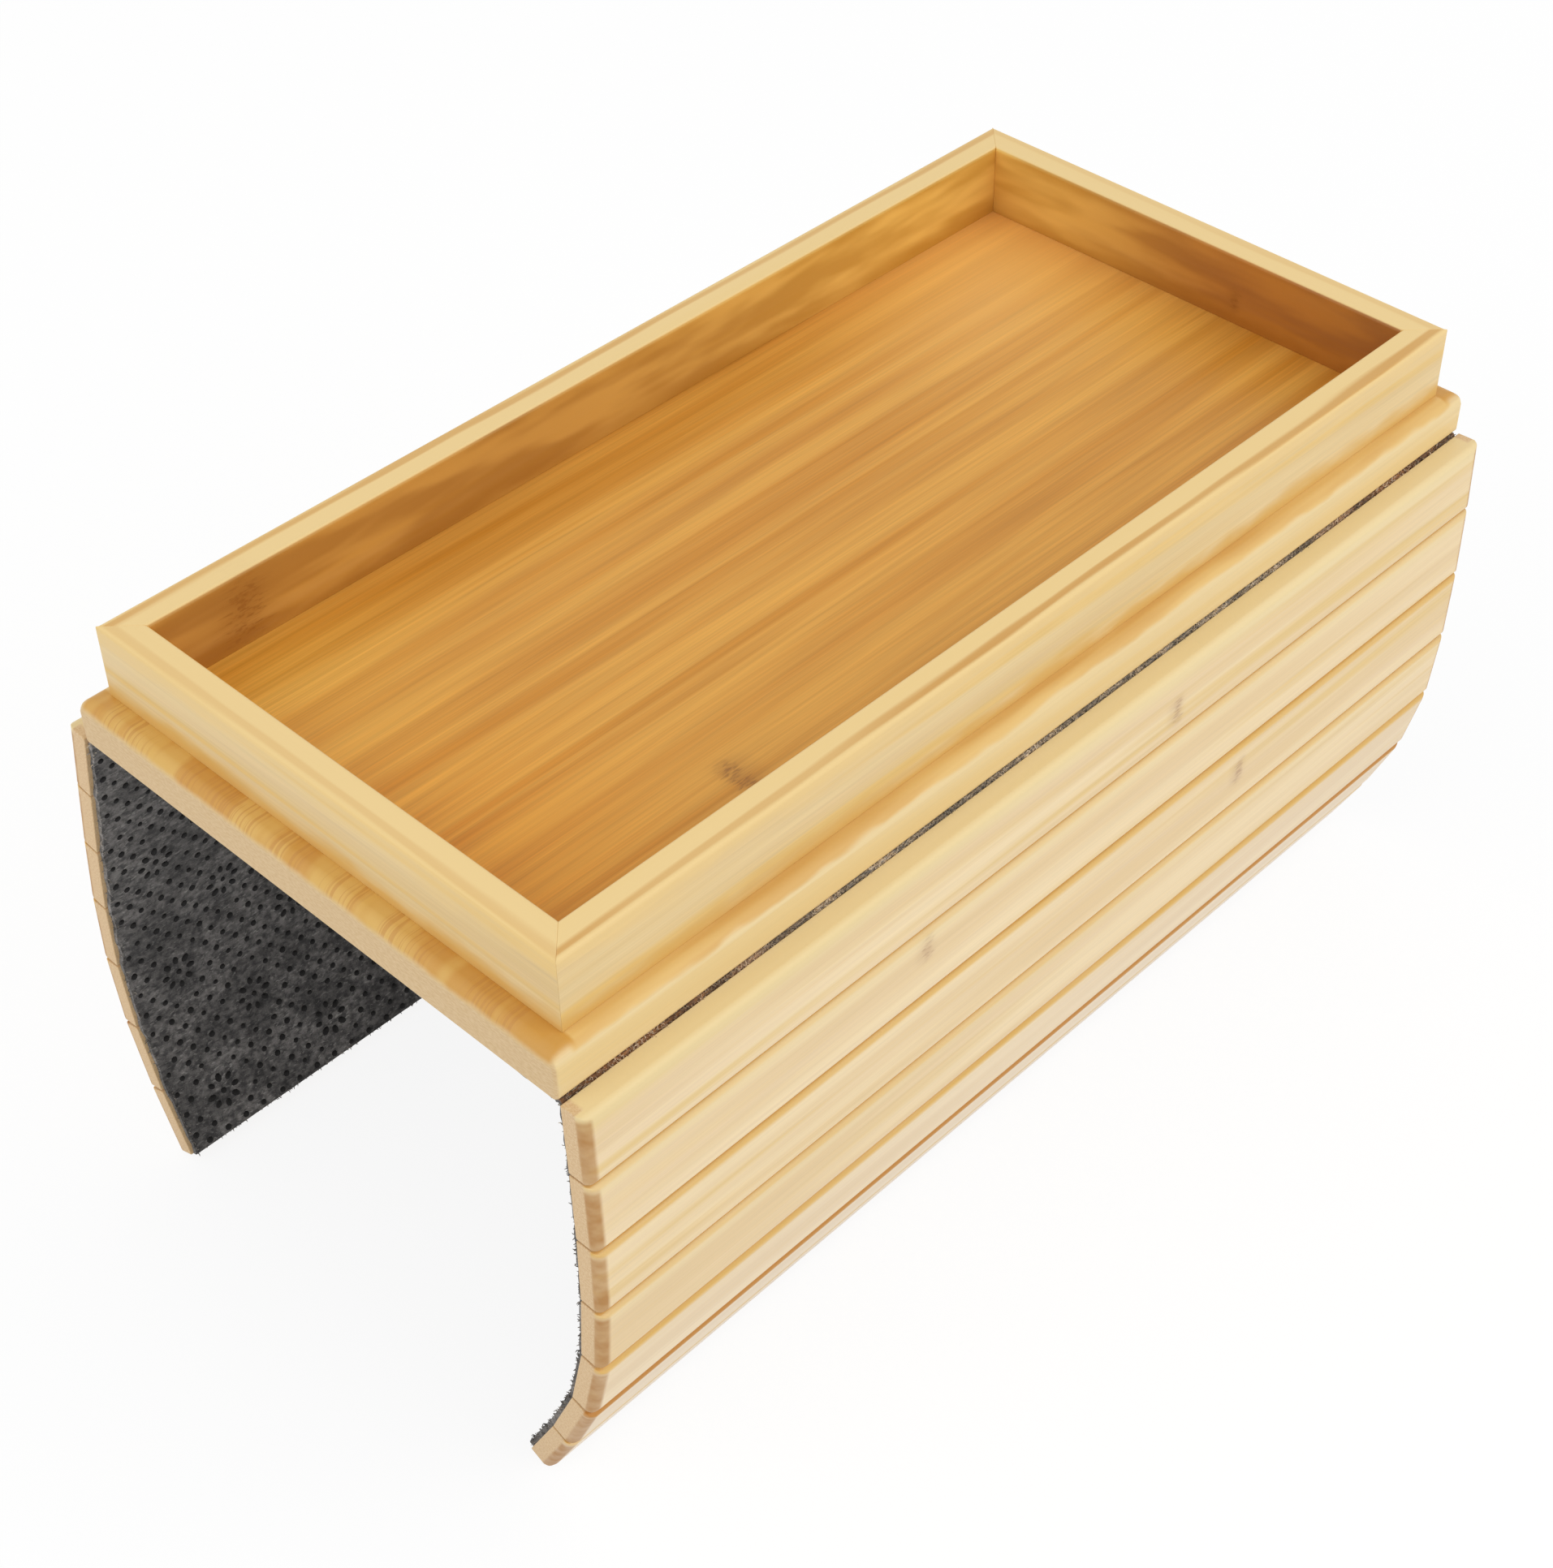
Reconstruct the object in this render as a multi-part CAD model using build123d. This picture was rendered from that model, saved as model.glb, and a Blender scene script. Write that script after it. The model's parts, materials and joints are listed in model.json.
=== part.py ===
from build123d import *
import math
import os

os.makedirs("parts", exist_ok=True)

# Sofa arm tray of bamboo with two slatted flaps on one felt sheet.
# Millimetres, +X along the tray, +Z up. The origin is the middle of the felt's
# lower face, where the tray rests on the sofa arm.

# Tray sizes
tray_length = 360.0
tray_width = 178.0
wall_thickness = 10.0
wall_height = 23.6
wall_edge_radius = 1.2

# Base board sizes
end_ledge = 7.5
side_ledge = 5.5
board_thickness = 14.4
board_top_radius = 4.0
board_bottom_radius = 2.0
board_corner_radius = 1.6

# Slat sizes
slat_count = 7
slat_pitch = 24.8
slat_gap = 0.8
slat_thickness = 8.0
slat_end_radius = 3.0
slat_long_radius = 2.0

# Felt sizes
felt_thickness = 1.6
felt_inset = 0.9
felt_clearance = 0.3

# Folds at rest, in degrees, one for each hinge from the board down
right_fold_angles = [88.0, 1.0, 2.0, 3.5, 8.5, 10.0, 4.0]
left_fold_angles = [80.0, 0.3, 2.0, 5.2, 8.5, 9.0, 7.0]

# Furthest folds, in degrees, counted from the flap laid flat
root_fold_angle_limit = 95.0
upper_fold_angle_limit = 12.0
lower_fold_angle_limit = 45.0
upper_hinge_count = 2

# Lengths that follow
board_length = tray_length + 2 * end_ledge
board_width = tray_width + 2 * side_ledge
slat_length = board_length
felt_length = board_length - 2 * felt_inset
board_low = felt_thickness
board_high = board_low + board_thickness
hinge_reach = board_width / 2 + slat_gap / 2
slat_width = slat_pitch - slat_gap


def furthest_fold(hinge):
    """The furthest fold of a hinge, which is counted from 0 at the board."""
    if hinge == 0:
        return root_fold_angle_limit
    if hinge <= upper_hinge_count:
        return upper_fold_angle_limit
    return lower_fold_angle_limit


def felt_setback(hinge):
    """How far the glued felt stops short of a hinge line, so that it can fold."""
    half_fold = math.radians(furthest_fold(hinge) / 2)
    return max(felt_thickness * math.tan(half_fold) + felt_clearance, slat_gap / 2)


def save(piece, name):
    """Writes one node's STEP file."""
    piece.label = name
    export_step(piece, f"parts/{name}.step")
    box = piece.bounding_box()
    size = f"{box.size.X:.1f} x {box.size.Y:.1f} x {box.size.Z:.1f}"
    print(f"{name}: {size} mm, {len(piece.solids())} solid")


def edges_at_height(piece, height):
    """The edges that lie level at a height."""
    found = [e for e in piece.edges() if abs(e.center().Z - height) < felt_clearance / 3]
    return ShapeList(e for e in found if abs(e.bounding_box().size.Z) < felt_clearance / 3)


def base_board():
    """The board: rounded ledge above, eased edges below along the hinge lines."""
    centre_high = (board_low + board_high) / 2
    board = Pos(0, 0, centre_high) * Box(board_length, board_width, board_thickness)
    board = fillet(board.edges().filter_by(Axis.Z), board_corner_radius)
    top_edges = edges_at_height(board, board_high)
    board = fillet(top_edges, min(board_top_radius, board_thickness / 3))
    low_edges = edges_at_height(board, board_low).filter_by(Axis.X)
    return fillet(low_edges, min(board_bottom_radius, board_thickness / 3))


def wall(along, across):
    """One wall of the tray along X, mitred at both ends, its outer face at -Y."""
    half_along = along / 2
    half_across = across / 2
    outline = Polyline(
        (-half_along, -half_across),
        (half_along, -half_across),
        (half_along - wall_thickness, wall_thickness - half_across),
        (wall_thickness - half_along, wall_thickness - half_across),
        close=True,
    )
    solid = extrude(Pos(0, 0, board_high) * make_face(outline), wall_height)
    top_long = edges_at_height(solid, board_high + wall_height).filter_by(Axis.X)
    return fillet(top_long, min(wall_edge_radius, wall_thickness / 4))


def slat_blank(side):
    """A slat laid flat beside its hinge line, felt side down, outer edges eased."""
    middle = Pos(0, side * slat_pitch / 2, slat_thickness / 2)
    slat = middle * Box(slat_length, slat_width, slat_thickness)
    ends = edges_at_height(slat, slat_thickness).filter_by(Axis.Y)
    slat = fillet(ends, min(slat_end_radius, slat_thickness / 2))
    long_edges = ShapeList(
        edge
        for edge in slat.edges()
        if edge.center().Z > slat_thickness / 2
        and abs(edge.center().Y - side * slat_pitch / 2) > slat_width / 4
    )
    return fillet(long_edges, min(slat_long_radius, slat_thickness / 3))


def felt_blank(side, start, end):
    """A felt strip laid flat under its slat, from one setback to the next."""
    middle = Pos(0, side * (start + end) / 2, -felt_thickness / 2)
    return middle * Box(felt_length, end - start, felt_thickness)


def direction(side, degrees):
    """(y, z) of a flap's downward run, turned so far from lying flat."""
    turn = math.radians(degrees)
    return side * math.cos(turn), -math.sin(turn)


def outward(side, degrees):
    """(y, z) of a slat's outer normal, turned so far from lying flat."""
    turn = math.radians(degrees)
    return side * math.sin(turn), math.cos(turn)


def step(point, way, distance):
    """A (y, z) point moved along a (y, z) direction."""
    return point[0] + way[0] * distance, point[1] + way[1] * distance


def felt_bend(side, hinge, before, after, setback):
    """The loose felt across a hinge line, folded from one slat's plane to the next."""
    run_before, out_before = direction(side, before), outward(side, before)
    run_after, out_after = direction(side, after), outward(side, after)
    half_fold = math.radians((after - before) / 2)
    out_middle = outward(side, (before + after) / 2)
    start = step(hinge, run_before, -setback)
    end = step(hinge, run_after, setback)
    crease = step(hinge, out_middle, -felt_thickness / math.cos(half_fold))
    corners = [
        start,
        hinge,
        end,
        step(end, out_after, -felt_thickness),
        crease,
        step(start, out_before, -felt_thickness),
    ]
    outline = Plane.YZ * Polyline(*corners, close=True)
    return extrude(make_face(outline), amount=felt_length / 2, both=True)


def flap(side, name, folds):
    """All slats, felt strips and felt bends of one flap, folded as at rest."""
    hinge = (side * hinge_reach, board_low)
    turned = 0.0
    for number, fold in enumerate(folds[:slat_count]):
        before = turned
        turned += fold
        setback = felt_setback(number)
        last = number == slat_count - 1
        far_end = slat_pitch - (slat_gap / 2 if last else felt_setback(number + 1))
        place = Pos(0, *hinge) * Rot(-side * turned, 0, 0)
        save(place * slat_blank(side), f"slat_{name}_{number + 1}")
        save(place * felt_blank(side, setback, far_end), f"felt_{name}_{number + 1}")
        bend = felt_bend(side, hinge, before, turned, setback)
        save(bend, f"felt_bend_{name}_{number + 1}")
        hinge_text = f"({hinge[0]:.3f}, {hinge[1]:.3f})"
        print(f"hinge {name} {number + 1} at (y, z) {hinge_text}, turned {turned:.1f}")
        hinge = step(hinge, direction(side, turned), slat_pitch)


# Pieces that stay still
save(base_board(), "base_board")
save(wall(tray_length, tray_width), "wall_right")
save(Rot(0, 0, 180) * wall(tray_length, tray_width), "wall_left")
save(Rot(0, 0, -90) * wall(tray_width, tray_length), "wall_near_end")
save(Rot(0, 0, 90) * wall(tray_width, tray_length), "wall_far_end")
felt_half_width = hinge_reach - felt_setback(0)
felt_middle = Pos(0, 0, felt_thickness / 2)
save(felt_middle * Box(felt_length, 2 * felt_half_width, felt_thickness), "felt_middle")

# The two flaps
flap(-1, "right", right_fold_angles)
flap(1, "left", left_fold_angles)
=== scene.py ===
# %% [markdown]
# # A bamboo tray that hangs over a sofa arm
# The real thing is a low-walled tray of bamboo board. Two flaps of bamboo slats hang
# from its long sides, held together only by one felt sheet that is glued under all of
# it, so the flaps drape over the arm like a roller shutter.
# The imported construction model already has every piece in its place. This lesson
# dresses it: finer edges on the wood, bamboo grain, and felt with rubber grip dots.

# %% Load the frame
import json
import math
from collections import namedtuple

import bmesh
import bpy
import numpy as np
from mathutils import Matrix, Vector


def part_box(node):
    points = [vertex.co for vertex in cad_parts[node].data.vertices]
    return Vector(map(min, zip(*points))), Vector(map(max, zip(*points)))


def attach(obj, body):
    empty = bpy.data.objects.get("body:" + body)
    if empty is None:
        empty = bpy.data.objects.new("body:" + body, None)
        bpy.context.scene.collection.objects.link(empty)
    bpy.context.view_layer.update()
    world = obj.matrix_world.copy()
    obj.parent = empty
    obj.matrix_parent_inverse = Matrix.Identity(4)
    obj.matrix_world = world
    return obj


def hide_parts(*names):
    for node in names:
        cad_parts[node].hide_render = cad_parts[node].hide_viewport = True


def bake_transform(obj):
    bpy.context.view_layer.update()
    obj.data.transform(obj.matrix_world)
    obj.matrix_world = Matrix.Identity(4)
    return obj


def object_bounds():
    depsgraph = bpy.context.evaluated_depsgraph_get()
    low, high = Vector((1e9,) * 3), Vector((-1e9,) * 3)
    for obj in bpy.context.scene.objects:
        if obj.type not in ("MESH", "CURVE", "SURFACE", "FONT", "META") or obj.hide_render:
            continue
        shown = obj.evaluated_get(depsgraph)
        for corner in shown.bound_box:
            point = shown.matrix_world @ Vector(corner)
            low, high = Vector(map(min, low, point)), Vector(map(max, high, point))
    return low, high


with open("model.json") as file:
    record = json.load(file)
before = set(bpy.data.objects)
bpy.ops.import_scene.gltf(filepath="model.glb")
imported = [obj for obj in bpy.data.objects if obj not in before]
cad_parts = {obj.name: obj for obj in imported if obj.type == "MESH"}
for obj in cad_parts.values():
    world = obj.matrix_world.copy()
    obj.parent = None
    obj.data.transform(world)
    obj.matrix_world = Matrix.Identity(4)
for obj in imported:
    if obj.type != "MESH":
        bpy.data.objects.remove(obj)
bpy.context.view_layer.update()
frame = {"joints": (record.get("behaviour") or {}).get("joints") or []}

MM = 0.001

# %% [markdown]
# ## Sizes
# Nothing here is measured twice. The board, the walls and the felt give their sizes
# through their boxes, and the joints give the hinge lines and how far each slat is
# turned at rest. A hinge's lower limit is the flap laid flat, so adding the limits up
# from the board down gives each slat's turn.

# %% Sizes from the frame
board_low, board_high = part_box("base_board")
side_wall_low, side_wall_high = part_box("wall_right")
felt_low, felt_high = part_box("felt_middle")
half_length = board_high.x
half_width = board_high.y
ledge_height = side_wall_low.z
rim_height = side_wall_high.z
wall_thickness = side_wall_high.y - side_wall_low.y
tray_half_length = side_wall_high.x
tray_half_width = -side_wall_low.y
felt_thickness = felt_high.z - felt_low.z
felt_half_length = felt_high.x
slat_thickness = 8 * MM
slat_count = 7
felt_clearance = 0.3 * MM

# %% Hinge lines
Hinge = namedtuple("Hinge", "at before after setback")
joints = {joint["name"]: joint for joint in frame["joints"]}
slat_gap = 2 * (abs(joints["fold_left_1"]["pos_m"][1]) - half_width)


def read_flap(name):
    """A flap's hinges from the board down, with each slat's turn from lying flat."""
    found = []
    turned = 0.0
    for number in range(1, slat_count + 1):
        joint = joints[f"fold_{name}_{number}"]
        low, high = (math.radians(limit) for limit in joint["range_deg"])
        before = turned
        turned -= low
        room = felt_thickness * math.tan((high - low) / 2) + felt_clearance
        found.append(Hinge(Vector(joint["pos_m"]), before, turned, max(room, slat_gap / 2)))
    return found


flaps = {"right": (-1, read_flap("right")), "left": (1, read_flap("left"))}
first_hinge, second_hinge = flaps["left"][1][:2]
slat_pitch = (second_hinge.at - first_hinge.at).length
root_distance = first_hinge.at.y
print("slat pitch", round(slat_pitch / MM, 2), "mm, gap", round(slat_gap / MM, 2), "mm")

# %% [markdown]
# ## The camera
# The photograph was taken from above one corner with a short telephoto lens. The place,
# the angles and the lens were found by fitting the tray's corners, so they are written
# down as one photographer would note them.

# %% Camera
image_wide, image_high = 1913, 1932
camera_place = Vector((-457.0, -432.8, 492.6)) * MM
camera_angles = (47.72, 0.58, -46.015)
camera_lens = 63.25
camera_sensor = 36
bpy.ops.object.camera_add(
    location=camera_place,
    rotation=[math.radians(angle) for angle in camera_angles],
)
camera = bpy.context.object
camera.name = "camera"
camera.data.sensor_width = camera_sensor
camera.data.lens = camera_lens
bpy.context.scene.camera = camera
print("camera at", [round(v, 3) for v in camera.location], "for an image of", image_wide, image_high)

# %% [markdown]
# ## Shader arithmetic
# A finish is a small calculation, and drawn as nodes it is hard to read. A wrapper round
# a socket lets it be written as one: an expression such as 1 - mask adds its own Math
# nodes. Colours never go through Math nodes, which would turn them grey.


# %% A socket that can be calculated with
class Wire:
    """An output socket of a finish. Arithmetic on it adds Math nodes."""

    def __init__(self, finish, socket):
        self.finish = finish
        self.socket = socket

    def math(self, operation, *values):
        """The result of a Math node on these values."""
        return self.finish.node("ShaderNodeMath", {"operation": operation}, dict(enumerate(values)))

    def __add__(self, other):
        return self.math("ADD", self, other)

    __radd__ = __add__

    def __sub__(self, other):
        return self.math("SUBTRACT", self, other)

    def __rsub__(self, other):
        return self.math("SUBTRACT", other, self)

    def __mul__(self, other):
        return self.math("MULTIPLY", self, other)

    __rmul__ = __mul__

    def __truediv__(self, other):
        return self.math("DIVIDE", self, other)

    def __abs__(self):
        return self.math("ABSOLUTE", self)


# %% A finish and its nodes
class Finish:
    """A material, or a world, and the nodes that make it."""

    def __init__(self, name, kind=bpy.data.materials):
        self.made = kind.new(name)
        self.made.use_nodes = True
        self.tree = self.made.node_tree
        self.tree.nodes.clear()

    def node(self, kind, settings=None, values=None, out=0):
        """Adds a node: first its settings, then each socket's value or wire."""
        made = self.tree.nodes.new(kind)
        for setting, value in (settings or {}).items():
            setattr(made, setting, value)
        for socket, value in (values or {}).items():
            if isinstance(value, Wire):
                self.tree.links.new(value.socket, made.inputs[socket])
            else:
                made.inputs[socket].default_value = value
        return Wire(self, made.outputs[out]) if made.outputs else None

    def attribute(self, name, out="Fac"):
        """A value that the mesh carries on its points."""
        return self.node("ShaderNodeAttribute", {"attribute_name": name}, out=out)

    def axes(self, name):
        """The three parts of a vector that the mesh carries on its points."""
        apart = self.node("ShaderNodeSeparateXYZ", None, {0: self.attribute(name, "Vector")})
        return [Wire(self, output) for output in apart.socket.node.outputs]

    def step(self, value, low, high):
        """0 below low, 1 above high, and smooth between them. With low above high it falls."""
        limits = {"Value": value, "From Min": low, "From Max": high, "To Min": 0.0, "To Max": 1.0}
        return self.node("ShaderNodeMapRange", {"interpolation_type": "SMOOTHSTEP"}, limits)

    def mix(self, share, first, second):
        """A colour between two colours."""
        settings = {"data_type": "RGBA", "clamp_factor": True}
        return self.node("ShaderNodeMix", settings, {0: share, 6: first, 7: second}, out=2)

    def scaled(self, vector, factor):
        """A colour made brighter or darker, or a vector made longer or shorter."""
        return self.node("ShaderNodeVectorMath", {"operation": "SCALE"}, {0: vector, "Scale": factor})

    def tinted(self, colour, tint):
        """A colour multiplied by another one."""
        return self.node("ShaderNodeVectorMath", {"operation": "MULTIPLY"}, {0: colour, 1: tint})

    def noise(self, place, sizes, seed, detail=2.0, roughness=0.5):
        """Noise whose blots have these three sizes, in the unit of the place."""
        settings = {"operation": "MULTIPLY_ADD"}
        values = {0: place, 1: [1 / size for size in sizes], 2: (seed, 1.7 * seed, 2.3 * seed)}
        at = self.node("ShaderNodeVectorMath", settings, values)
        values = {"Vector": at, "Scale": 1.0, "Detail": detail, "Roughness": roughness}
        return self.node("ShaderNodeTexNoise", None, values)


# %% [markdown]
# Colours are written as they look on a screen, from 0 to 255, and turned into the light
# values that Blender works with.


# %% Screen colours
def paint(red, green, blue):
    """A screen colour as Blender's linear colour."""
    shares = [value / 255 for value in (red, green, blue)]
    linear = [s / 12.92 if s <= 0.04045 else ((s + 0.055) / 1.055) ** 2.4 for s in shares]
    return (*linear, 1.0)


# %% [markdown]
# ## Bamboo
# Bamboo board is glued from split canes. Its colour lies in long soft streaks, with hair
# lines where the fibre bundles run and, every now and then, the grey-brown smudge of a
# knuckle. A picture could be laid over it, but it would stretch over the rounded edges.
# Noise drawn out along the grain runs through the wood as the real fibres do, so it also
# comes out right on a rounded edge. Each piece carries its own place on its board, in
# millimetres, as an attribute called grain, and a batch number that shifts the pattern,
# so no two slats are alike. In these finishes a noise is given its blots' sizes along,
# across and through the grain, in millimetres, and a number that picks its pattern, and
# a step is given the two values between which it rises or falls.


# %% Streaked bamboo
def bamboo(finish, tones, contrast=1.0):
    """The colour of plain bamboo from four tones, and the height of its fibres."""
    pale, tan, rosy, golden = tones
    grain = finish.attribute("grain", "Vector")
    batch = finish.attribute("batch")
    shift = finish.scaled((9000.0, 700.0, 300.0), batch)
    wood = finish.node("ShaderNodeVectorMath", {"operation": "ADD"}, {0: grain, 1: shift})
    broad = finish.noise(wood, (260, 9, 9), 1.0)
    soft = finish.noise(wood, (120, 3.4, 3.4), 2.0)
    warm = finish.noise(wood, (300, 6, 6), 3.0)
    fibres = finish.noise(wood, (70, 1.1, 1.1), 4.0, detail=3.0, roughness=0.6)
    hairs = finish.noise(wood, (34, 0.42, 0.42), 5.0, detail=1.0)
    colour = finish.mix(finish.step(broad, 0.34, 0.66), pale, tan)
    colour = finish.mix(finish.step(soft, 0.45, 0.75) * 0.6, colour, rosy)
    gold = finish.step(warm - 0.12 * finish.attribute("tone"), 0.42, 0.62)
    colour = finish.mix(gold * 0.8, colour, golden)
    light = 1 + contrast * (0.2 * (fibres - 0.5) + 0.14 * (hairs - 0.5))
    height = 0.6 * fibres + 0.4 * hairs
    return finish.scaled(colour, light), height, wood


def knuckle(finish, colour, wood, mark):
    """The smudge that a cane's knuckle leaves across the grain, at one place on the piece."""
    along, across, _ = finish.axes("from_knuckle")
    comb = finish.noise(wood, (40, 0.9, 0.9), 9.0)
    near = finish.step(abs(along + 2.4 * (comb - 0.5)), 1.0, 0.2)
    within = finish.step(abs(across), 1.1, 0.4)
    spots = finish.step(finish.noise(wood, (2.4, 0.8, 0.8), 10.0, detail=3.0), 0.42, 0.66)
    halo = finish.step(abs(along - 0.4), 2.2, 0.2) * within
    return finish.mix(near * within * (0.15 + 0.4 * spots) + 0.22 * halo, colour, mark)


def lacquer(finish, colour, height, depth=0.00004, gloss=0.46):
    """Closes a wood finish: satin lacquer over fibres that can just be felt."""
    bump = finish.node("ShaderNodeBump", None, {"Strength": 0.35, "Distance": depth, "Height": height})
    rough = gloss + 0.16 * (height - 0.5)
    values = {"Base Color": colour, "Roughness": rough, "Specular IOR Level": 0.35, "Normal": bump}
    shader = finish.node("ShaderNodeBsdfPrincipled", None, values)
    finish.node("ShaderNodeOutputMaterial", None, {"Surface": shader})
    return finish.made


# %% [markdown]
# ### The slats' finish
# A slat is pale on its face and palest just below its upper edge. Its lower edge has a pale
# painted highlight where it catches the light just above the gap. Where the router rounded
# the upper edge the cut runs through the deeper, more orange layers, and painted shade from
# the slat above darkens that band further, the more so the sharper the fold, and on one slat
# down to brown. The lowest slats of the right flap are paled towards white, a paler tone with
# painted glare on it. Across its ends the fibres are cut off, which makes the rounded strip
# brown and the flat end a dull tan. Those zones are found by the place on the slat, so they
# stay where they are when the flap folds.

# %% Slat finish
slat_half = half_length / MM
slat_wide = (slat_pitch - slat_gap) / MM
slat_middle = slat_pitch / 2 / MM
slat_low_edge = slat_middle + slat_wide / 2
slat_tones = (paint(244, 221, 178), paint(233, 205, 157), paint(237, 211, 172), paint(230, 197, 128))


def slat_finish():
    """Pale bamboo with an ochre upper edge deepened by painted shade, a painted highlight on its lower
    edge, golden sides and brown rounded ends.
    """
    finish = Finish("bamboo_slat_finish")
    colour, height, wood = bamboo(finish, slat_tones, contrast=0.75)
    colour = knuckle(finish, colour, wood, paint(180, 142, 110))
    along, across, through = finish.axes("grain")
    ochre = finish.attribute("ochre")
    # Tones above 1 pale the slat towards white: a paler tone, and on the lowest right slats painted
    # glare.
    bleached_and_glare = finish.step(finish.attribute("tone"), 1.0, 2.0)
    colour = finish.mix(bleached_and_glare * 0.75, colour, paint(246, 232, 214))
    uneven = finish.noise(wood, (60, 2.4, 2.4), 20.0)
    # Painted highlight along the lower edge, where it catches the light just above the gap.
    lower_edge_highlight = finish.step(across, slat_low_edge - 1.4, slat_low_edge - 0.4)
    colour = finish.mix(lower_edge_highlight * 0.5, colour, paint(252, 234, 198))
    shoulder = finish.step(across, 7.0, 2.5)
    colour = finish.mix(shoulder * (1 - ochre) * 0.8, colour, paint(238, 216, 163))
    # The upper edge's ochre band: deeper layers cut by the router, and painted shade from the slat
    # above.
    upper_edge_layers_and_shade = finish.step(across + 1.6 * (uneven - 0.5), 2.7, 1.1)
    colour = finish.mix(upper_edge_layers_and_shade * ochre * (0.45 + uneven), colour, paint(224, 181, 98))
    side = finish.step(abs(across - slat_middle), slat_wide / 2 - 0.2, slat_wide / 2 - 0.05)
    colour = finish.mix(2 * side * ochre, colour, paint(226, 178, 104))
    # Past 1 the ochre turns brown: painted shade at the sharpest fold.
    colour = finish.mix(upper_edge_layers_and_shade * (ochre - 1), colour, paint(188, 122, 52))
    end = finish.step(abs(along), slat_half - 3.5, slat_half - 2.0)
    burnt = finish.noise(wood, (9, 5, 5), 22.0)
    below_corner = finish.step(across, 0.8, 3.6)
    colour = finish.mix(end * below_corner * (0.35 + burnt), colour, paint(184, 134, 74))
    flat_end = end * finish.step(through, 5.5, 4.7)
    speckle = finish.noise(finish.attribute("grain", "Vector"), (0.5, 0.6, 0.6), 21.0)
    end_colour = finish.mix(finish.step(speckle, 0.3, 0.7), paint(214, 178, 130), paint(228, 198, 154))
    colour = finish.mix(flat_end, colour, end_colour)
    return lacquer(finish, colour, height)


bamboo_slat = slat_finish()
print("finish", bamboo_slat.name, "with", len(bamboo_slat.node_tree.nodes), "nodes")

# %% [markdown]
# ### The walls' finish
# A wall is golden near its rim, orange at its foot with painted shade where it stands on the
# ledge, and paler between them. The rim has a darker ochre streak along its outer half. The
# inner face is a blotchy caramel, partly painted shade of the tray's inside, with more painted
# shade towards the wall's foot, its corners and its shaded end, and painted light towards
# the other end.
# Across is the height up the wall, and through is the depth from its outer face.

# %% Wall finish
wall_tall = (rim_height - ledge_height) / MM
wall_tones = (paint(233, 207, 155), paint(225, 195, 138), paint(228, 199, 150), paint(231, 193, 114))


def inner_face(finish, wood, along, across, flames):
    """The caramel of a wall's inner face, with painted shade low down, in the corners and to one end,
    and painted light to the other.
    """
    blotch = finish.step(finish.noise(wood, (45, 9, 9), 33.0), 0.35, 0.65)
    # The caramel is partly the wood's colour and partly painted shade of the tray's inside.
    colour = finish.mix(blotch, paint(188, 126, 34), paint(220, 161, 66))
    # Painted shade, darker low down on the inner face.
    low = finish.step(across + 8 * (flames - 0.5), 9.0, 1.0)
    colour = finish.mix(low * 0.4, colour, paint(162, 98, 26))
    half_along = finish.attribute("half_along")
    # Painted shade in the corners.
    from_corner = half_along - abs(along) + 12 * (flames - 0.5)
    corner = finish.step(from_corner, 56, 14)
    colour = finish.mix(corner * 0.15, colour, paint(148, 86, 26))
    # Painted shade towards the shaded end, and painted light at the other end.
    shaded_end = finish.attribute("shaded_end")
    depth = abs(shaded_end)
    shade = depth * finish.step(shaded_end * along / half_along, -1.0 * depth, 0.3 * depth)
    return finish.tinted(colour, finish.mix(shade, (1.31, 1.68, 2.4, 1.0), (0.66, 0.46, 0.15, 1.0)))


def wall_finish():
    """Bamboo with a golden rim, an orange foot of painted shade and inner faces darkened by painted
    shade.
    """
    finish = Finish("bamboo_wall_finish")
    colour, height, wood = bamboo(finish, wall_tones)
    along, across, through = finish.axes("grain")
    uneven = finish.noise(wood, (80, 4, 4), 30.0)
    flames = finish.noise(wood, (20, 6, 6), 31.0)
    upper = finish.step(across + 12 * (flames - 0.5), wall_tall - 9, wall_tall - 1)
    colour = finish.mix(upper * 0.7, colour, paint(240, 207, 140))
    # Painted shade at the wall's foot, where it stands on the ledge.
    foot_shade = finish.step(across + 10 * (flames - 0.5), 7.5, 0.4)
    colour = finish.mix(foot_shade * 0.85, colour, paint(222, 176, 92))
    top = finish.step(across, wall_tall - 0.5, wall_tall - 0.1)
    colour = finish.mix(top * 0.6, colour, paint(243, 213, 150))
    drift = finish.step(finish.noise(wood, (160, 30, 30), 32.0), 0.3, 0.7)
    streak = finish.step(abs(through + 4 * (uneven - 0.5) - 2.4), 1.9, 0.5) * (0.5 + 0.5 * drift)
    colour = finish.mix(top * streak * finish.attribute("ochre"), colour, paint(209, 155, 77))
    inner = finish.step(through, wall_thickness / MM - 1.3, wall_thickness / MM - 0.6)
    inner_colour = inner_face(finish, wood, along, across, flames)
    colour = finish.mix(inner * (1 - top) * 0.9, colour, inner_colour)
    mark = finish.mix(inner, paint(196, 160, 114), paint(146, 90, 30))
    colour = knuckle(finish, colour, wood, mark)
    return lacquer(finish, colour, height)


bamboo_wall = wall_finish()
print("finish", bamboo_wall.name, "with", len(bamboo_wall.node_tree.nodes), "nodes")

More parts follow.
